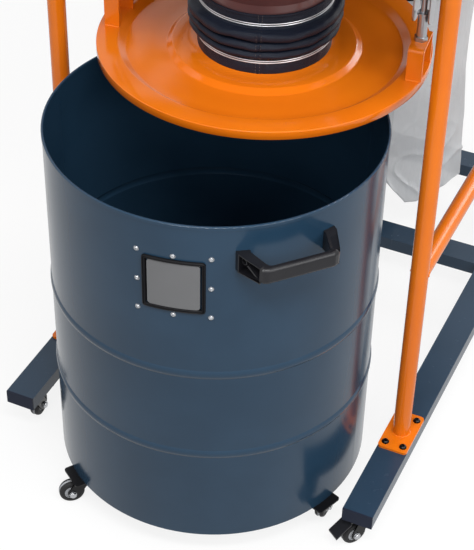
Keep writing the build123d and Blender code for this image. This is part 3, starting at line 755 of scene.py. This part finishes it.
def buildSleeve():
    s = sleeve
    random.seed(4)
    r = s["radius"]
    low, high = s["wires"]
    fine = sleeveLine()
    puckers = randomPuckers() + [(*gather, low) for gather in s["gathers"]]
    points, faces = [], []
    # points every few degrees, and closer beside the seam
    angles = {round(360 * i / s["around"], 2) for i in range(s["around"])}
    angles = sorted(angles | {round(360 + s["seam"] + 0.3 * k, 2) for k in range(-18, 24)})
    n = len(angles)
    for z, radius in fine:
        bulge = bulgeOf(radius)
        for angle in angles:
            turn = math.radians(angle)
            ring = Vector((math.cos(turn) * 1.3, math.sin(turn) * 1.3, z / 60))
            dz = bulge * (4.2 * noise.noise(ring * 1.6) + 1.4 * noise.noise(ring * 5))
            rim = radius + sleeveRise(z, bulge, angle, puckers)
            height = max(s["foot"], min(z + dz, s["top"]))
            points.append((rim * math.cos(turn), rim * math.sin(turn), height))
    for j in range(len(fine) - 1):
        for i in range(n):
            k = (i + 1) % n
            faces.append([j * n + i, j * n + k, (j + 1) * n + k, (j + 1) * n + i])
    made = piece("clothSleeve", points, faces, None, [cloth], "navy_fabric", sharp=180)
    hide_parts("sleeve")
    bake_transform(made)

    # pale thread: one short stitch after another on both sides of the seam
    stitch = turned([(0, -1.7), (0.34, -1.3), (0.42, 0), (0.34, 1.3), (0, 1.7)], 8)
    spots = []
    for side in (-s["stitchSide"], s["stitchSide"]):
        last = 0.0
        for z, radius in fine[6:-14]:
            if abs(z - last) > 4.6:
                last, angle = z, seamAt(z) + side
                turn = math.radians(angle)
                rise = sleeveRise(z, bulgeOf(radius), angle, puckers)
                spots.append((z, turn, radius + rise + 0.25))
    places = [shift(rim * math.cos(turn), rim * math.sin(turn), z) for z, turn, rim in spots]
    points, faces, _ = stamped(stitch, places)
    thread = piece("sleeveStitches", points, faces, None, [seamThread], "navy_fabric")
    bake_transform(thread)
    for name, body, z in (("sleeveWireLow", "lid", low), ("sleeveWireHigh", "frame", high)):
        rounds = [tubeAlong(circlePath(r + 0.9, z + dz, 160), 1.1, closed=True) for dz in (-1.9, 1.9)]
        # twisted ends of the wire, tucked away behind
        knot = []
        for k in range(25):
            t = k / 24
            turn = math.radians(s["seam"] + 186 + 9 * t)
            wave = 1.2 * math.sin(8 * math.pi * t)
            knot.append(((r + 2.2) * math.cos(turn), (r + 2.2) * math.sin(turn), z + wave))
        rounds.append(tubeAlong(knot, 0.9, 8))
        points, faces = gathered(rounds)
        wires = piece(name, points, faces, body, [steelWire], "bright_zinc")
        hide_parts("sleeve_wire_lower" if body == "lid" else "sleeve_wire_upper")
    print("sleeve ready")


buildSleeve()

bag = {
    "y": 700.0,
    "top": 695.0,
    "mouth": 188.4,
    # the angle of each crease and how low the film hangs there
    "corners": (-1.0, -21.0, -37.5, -46.0, -62.3, -110.0, -151.0, 174.0, 133.0, 84.0, 43.0),
    "bottoms": (160.0, 148.0, 129.0, 129.0, 192.0, 190.0, 170.0, 150.0, 150.0, 150.0, 150.0),
    "shoulder": 330.0,
    # heights with the radius at each crease
    "levels": (
        (661.0, (188.4,) * 11),
        (560.0, (189.5, 187.0, 188.0, 187.5, 187.0, 186.0, 188.0, 189.0, 185.0, 186.0, 185.0)),
        (446.0, (190.0, 188.0, 186.5, 184.5, 183.0, 182.0, 188.0, 191.0, 182.0, 180.0, 182.0)),
        (310.0, (201.0, 191.0, 186.0, 181.0, 178.5, 178.0, 188.0, 192.0, 178.0, 174.0, 178.0)),
        (190.0, (209.0, 193.5, 183.0, 176.0, 177.5, 175.0, 188.0, 191.0, 176.0, 171.0, 177.0)),
        (136.0, (210.0, 193.0, 182.0, 174.5, 177.0, 174.0, 186.0, 189.0, 174.0, 169.0, 175.0)),
        (130.5, (206.0, 190.0, 179.0, 172.0, 173.0, 170.0, 182.0, 184.0, 170.0, 165.0, 171.0)),
        (129.0, (184.0, 172.0, 160.0, 154.0, 152.0, 148.0, 158.0, 160.0, 148.0, 144.0, 150.0)),
    ),
    "perSide": 18,
    "rowStep": 5.0,
    "tuck": 14.0,
}


def buildBag():
    b = bag
    corners = [math.radians(angle) for angle in b["corners"]]
    mouthZ, bottomZ = b["levels"][0][0], b["levels"][-1][0]
    heights = [b["top"], 678.0]
    z = mouthZ
    while z > bottomZ:
        heights.append(z)
        z -= b["rowStep"] if z > 150 else 1.5
    heights.append(bottomZ)
    sides, per = len(corners), b["perSide"]
    around = sides * per
    points, faces = [], []
    for z in heights:
        if z >= mouthZ:
            radii, share = (b["mouth"],) * sides, 0.0
        else:
            for above, below in zip(b["levels"], b["levels"][1:]):
                if below[0] <= z:
                    break
            t = (above[0] - z) / (above[0] - below[0])
            radii = [r0 + (r1 - r0) * t for r0, r1 in zip(above[1], below[1])]
            share = min(1.0, (mouthZ - z) / 190)
        sink = max(0.0, (b["shoulder"] - z) / (b["shoulder"] - bottomZ))
        for side in range(sides):
            here = Vector((math.cos(corners[side]), math.sin(corners[side]))) * radii[side]
            after = (side + 1) % sides
            there = Vector((math.cos(corners[after]), math.sin(corners[after]))) * radii[after]
            rises = [sink * (b["bottoms"][k] - bottomZ) for k in (side, after)]
            for k in range(per):
                t = k / per
                flat = here.lerp(there, t)
                # round at the collar, flat panels between creases lower down
                size = here.length + (there.length - here.length) * t
                spot = flat.normalized() * (size + (flat.length - size) * share)
                crumple = max(0.0, min(1.0, (420 - z) / 260))
                field = Vector((spot.x / 75, spot.y / 75, z / 110))
                line = (1 - abs(noise.noise(field * 1.2 + Vector((3, 1, 0)))) * 2) ** 5
                soft = noise.noise(field * 0.7)
                spot *= 1 + (crumple * (5.0 * line - 2.5) + share * 2.0 * soft) / 185
                points.append((spot.x, b["y"] + spot.y, z + rises[0] + (rises[1] - rises[0]) * t))
    for j in range(len(heights) - 1):
        for i in range(around):
            k = (i + 1) % around
            faces.append([j * around + i, (j + 1) * around + i, (j + 1) * around + k, j * around + k])
    # the bottom is tucked up towards its middle
    start = len(points)
    last = (len(heights) - 1) * around
    for ring in (0.75, 0.5, 0.25):
        for i in range(around):
            x, y, z = points[last + i]
            lift = b["tuck"] * (1 - ring) + 3 * noise.noise(Vector((x * ring / 30, y * ring / 30, 5)))
            points.append((x * ring, b["y"] + (y - b["y"]) * ring, max(127.0, z + lift)))
    points.append((0, b["y"], bottomZ + b["tuck"]))
    for step in range(3):
        low = last if step == 0 else start + (step - 1) * around
        high = start + step * around
        for i in range(around):
            k = (i + 1) % around
            faces.append([low + i, high + i, high + k, low + k])
    for i in range(around):
        faces.append([start + 2 * around + i, len(points) - 1, start + 2 * around + (i + 1) % around])
    made = piece("dustBag", points, faces, "frame", [frostedFilm], "clear_film", sharp=24)
    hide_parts("filter_bag")
    print("bag ready")


buildBag()

wheel = {"radius": 25.0, "half": 9.5, "hub": 15.5, "rings": (13.6, 10.4, 7.0), "cap": 13.6, "trail": 24.0}
# where the frame's casters stand and which way each is turned
frameCasters = ((-363.5, -294, 95), (363.5, -294, -126), (-363.5, 914, -85), (363.5, 914, -95))


def wheelShape():
    # the tread is kind 0, the pale hub and centre band kind 1
    w = wheel
    rows, kinds = [], []

    def add(radius, height, kind):
        rows.append((radius, height))
        kinds.append(kind)

    half = w["half"]
    add(4.2, -half + 0.6, 1)
    for ring in reversed(w["rings"]):
        add(ring - 1.0, -half + 2.4, 1)
        add(ring - 0.6, -half + 1.3, 1)
        add(ring + 0.6, -half + 1.3, 1)
        add(ring + 1.0, -half + 2.4, 1)
    add(w["hub"], -half + 1.2, 0)
    add(w["hub"] + 0.8, -half, 0)
    add(w["radius"] - 4.6, -half, 0)
    add(w["radius"] - 1.8, -half + 1.4, 0)
    add(w["radius"] - 0.4, -half + 4.0, 0)
    add(w["radius"], -half + 6.6, 0)
    add(w["radius"], -2.2, 1)
    add(w["radius"] - 1.2, -1.6, 1)
    mirrored = [(r, -h) for r, h in reversed(rows)]
    kindList = kinds[:-1] + [1] + list(reversed(kinds[:-1])) + [1]
    points, faces, bands = turned(rows + mirrored, 56, closed=True)
    return points, faces, [kindList[min(k, len(kindList) - 1)] for k in bands]


axleCap = turned([
    (0, 0), (7.4, 0), (7.4, 1.2), (6.2, 1.2), (7.0, 1.21, hexShape), (7.0, 4.2, hexShape), (5.8, 4.9), (0, 4.9),
], 24)


def capPlaces(centre, axis):
    return [shift(*(centre + side * axis * wheel["cap"])) @ pointing(side * axis) for side in (-1, 1)]


def wheelSet(name, places, body, caps, capName, capBody, node):
    points, faces, kinds = stamped(wheelShape(), places)
    made = piece(name, points, faces, body, [treadRubber, hubPlastic], "wheel_rubber", kinds)
    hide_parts(node)
    points, faces, _ = stamped(axleCap, caps)
    piece(capName, points, faces, capBody, [brightZinc], "bright_zinc")


def buildWheels():
    for joint in frame["joints"]:
        if joint["name"].endswith("_spin"):
            number = joint["name"].split("_")[2]
            node = f"drum_caster_wheel_{number}"
            low, high = inMm(node)
            centre, axis = (low + high) / 2, Vector(joint["axis"])
            caps = capPlaces(centre, axis)
            names = f"drumAxleNuts{number}", f"drum_fork_{number}"
            place = shift(*centre) @ pointing(axis)
            wheelSet(f"drumWheel{number}", [place], joint["child"], caps, *names, node)
    places, caps = [], []
    for x, y, heading in frameCasters:
        turn = math.radians(heading)
        trail = wheel["trail"]
        centre = Vector((x + trail * math.cos(turn), y + trail * math.sin(turn), wheel["radius"]))
        axis = Vector((math.sin(turn), -math.cos(turn), 0))
        places.append(shift(*centre) @ pointing(axis))
        caps += capPlaces(centre, axis)
    wheelSet("frameWheels", places, "frame", caps, "frameAxleNuts", "frame", "frame_caster_wheels")
    print("wheels ready")


buildWheels()

sideTubes = (512.0, 1112.0)
legPlaces = ((-363.5, -106.0), (363.5, -106.0), (-363.5, 842.0), (363.5, 842.0))
bolting = {"across": 18, "along": 40, "footZ": 112, "deckUp": 1188}


def buildFasteners():
    bolt = buttonScrew(6.6, 4.0, 2.9, 2.4, washer=7.4)
    places = []
    for x, y in legPlaces:
        for dx in (-bolting["across"], bolting["across"]):
            for dy in (-bolting["along"], bolting["along"]):
                places.append(shift(x + dx, y + dy, bolting["footZ"]) @ turnZ(23 * len(places)))
    points, faces, _ = stamped(bolt, places)
    piece("footBolts", points, faces, "frame", [blackSteel], "black_plastic")
    tops = [shift(0, 0, bolting["deckUp"]) @ place for place in places]
    points, faces, _ = stamped(bolt, tops)
    piece("deckBolts", points, faces, "frame", [blackSteel], "black_plastic")
    print("fasteners ready")


buildFasteners()


welding = {
    "tube": 17.1,
    "legEnds": (112.6, 1290.4),
    # along the bracket, height, size
    "bracket": ((37.4, 849.6, 1.5), (34.7, 908.8, 1.1)),
}


def saddlePath(x, y, z, side):
    # where a side tube meets a leg of the same size
    path, tube = [], welding["tube"]
    for k in range(48):
        angle = 2 * math.pi * k / 48
        across, height = tube * math.cos(angle), tube * math.sin(angle)
        along = math.sqrt(max(0.0, tube ** 2 - across ** 2)) + 0.5
        path.append((x + across, y + side * along, z + height))
    return path


def buildWelds():
    beads = []
    for x, y in legPlaces:
        for z in welding["legEnds"]:
            beads.append(weldBead(circlePath(17.2, z, 48, centre=(x, y)), 1.3, closed=True))
        for z in sideTubes:
            beads.append(weldBead(saddlePath(x, y, z, 1 if y < 0 else -1), 1.7, closed=True))
    points, faces = gathered(beads)
    # the beads take the paler orange, a painted highlight along the welds
    piece("legWelds", points, faces, "frame", [weldHighlightPaint], "orange_paint", sharp=180)
    # the feet and bends of the lid's two brackets
    beads = []
    for side in ("left", "right"):
        low, high = inMm(f"lid_bracket_{side}")
        turn = shift((low.x + high.x) / 2, (low.y + high.y) / 2, 0) @ turnZ(7)
        for y, z, size in welding["bracket"]:
            for end in (-1, 1):
                line = [turn @ Vector((x, end * y, z)) for x in (-13.3, 13.3)]
                beads.append(weldBead(line, size))
    points, faces = gathered(beads)
    # these beads also take the paler orange, a painted highlight along the bends and feet
    piece("bracketWelds", points, faces, "lid", [weldHighlightPaint], "orange_paint", sharp=180)
    print("welds ready")


buildWelds()

studio = {
    "floor": (0.30, 0.30, 0.30),
    "floorSeen": (0.95, 0.95, 0.95),
    "floorWhite": 0.84,
    "world": 0.44,
    "lamps": (
        ("frontLamp", (1.0, -2.1, 3.6), (2.2, 0.5), 88.0),
        ("lowFrontLamp", (0.6, -3.4, 2.4), (2.6, 1.2), 22.0),
        ("leftLamp", (-2.8, -1.8, 2.8), (2.0, 2.4), 14.0),
        ("rightLamp", (3.2, -1.4, 2.5), (2.0, 2.0), 54.0),
        ("backLamp", (1.6, 3.6, 2.4), (2.4, 1.6), 70.0),
    ),
}


def buildStudio():
    mesh = bpy.data.meshes.new("studioFloor")
    mesh.from_pydata([(-30, -30, 0), (30, -30, 0), (30, 30, 0), (-30, 30, 0)], [], [(0, 1, 2, 3)])
    floor = bpy.data.objects.new("studioFloor", mesh)
    bpy.context.scene.collection.objects.link(floor)
    # the camera sees a white floor that keeps a soft shadow; the object gets less light back from it
    paper = Finish("palePaper", Roughness=0.9, Specular_IOR_Level=0.0)
    rays = paper.node("LightPath").outputs
    paper.set(Base_Color=paper.mix(rays["Is Camera Ray"], studio["floor"], studio["floorSeen"]))
    white = paper.node("Emission", {}, {"Color": (1.0, 1.0, 1.0), "Strength": 1.0})
    share = paper.seenRays() * studio["floorWhite"]
    blend = paper.node("MixShader", {}, {0: share, 1: paper.shader.outputs[0], 2: white.outputs[0]})
    paper.feed(paper.tree.nodes["Material Output"], {"Surface": blend.outputs[0]})
    mesh.materials.append(paper.material)
    for name, spot, (wide, deep), power in studio["lamps"]:
        light = bpy.data.lights.new(name, "AREA")
        light.energy = power
        light.shape = "RECTANGLE"
        light.size, light.size_y = wide, deep
        lamp = bpy.data.objects.new(name, light)
        lamp.location = spot
        lamp.rotation_euler = (Vector((0, 0, 0.5)) - Vector(spot)).to_track_quat("-Z", "Y").to_euler()
        bpy.context.scene.collection.objects.link(lamp)
    world = bpy.data.worlds.new("studioWorld")
    world.use_nodes = True
    world.node_tree.nodes.clear()
    sky = Shading(world.node_tree)
    plain = sky.node("Background", {}, {"Color": (1.0, 1.0, 1.0), "Strength": studio["world"]})
    white = sky.node("Background", {}, {"Color": (1.0, 1.0, 1.0), "Strength": 1.0})
    blend = sky.node("MixShader", {}, {0: sky.seenRays(), 1: plain.outputs[0], 2: white.outputs[0]})
    sky.node("OutputWorld", {}, {"Surface": blend.outputs[0]})
    bpy.context.scene.world = world
    bpy.context.scene.view_settings.view_transform = "Standard"


buildStudio()

camera = {
    "focalPx": 1588.86,
    "tallPx": 550.0,
    "azimuth": 24.02,
    "down": 39.43,
    "roll": 1.26,
    "place": (965.61, -2264.58, 2321.87),
    "sensor": 36.0,
}


def buildCamera():
    c = camera
    a, t, r = (math.radians(c[key]) for key in ("azimuth", "down", "roll"))
    ahead = Vector((-math.sin(a) * math.cos(t), math.cos(a) * math.cos(t), -math.sin(t)))
    level = Vector((math.cos(a), math.sin(a), 0))
    rise = level.cross(ahead)
    right = level * math.cos(r) + rise * math.sin(r)
    up = rise * math.cos(r) - level * math.sin(r)
    data = bpy.data.cameras.new("photoView")
    data.sensor_fit = "AUTO"
    data.sensor_width = c["sensor"]
    data.lens = c["focalPx"] / c["tallPx"] * c["sensor"]
    data.clip_end = 100.0
    view = bpy.data.objects.new("photoView", data)
    turn = Matrix((right, up, -ahead)).transposed().to_4x4()
    view.matrix_world = Matrix.Translation(toRow @ Vector(c["place"])) @ turn
    bpy.context.scene.collection.objects.link(view)
    bpy.context.scene.camera = view


buildCamera()
print("studio ready")
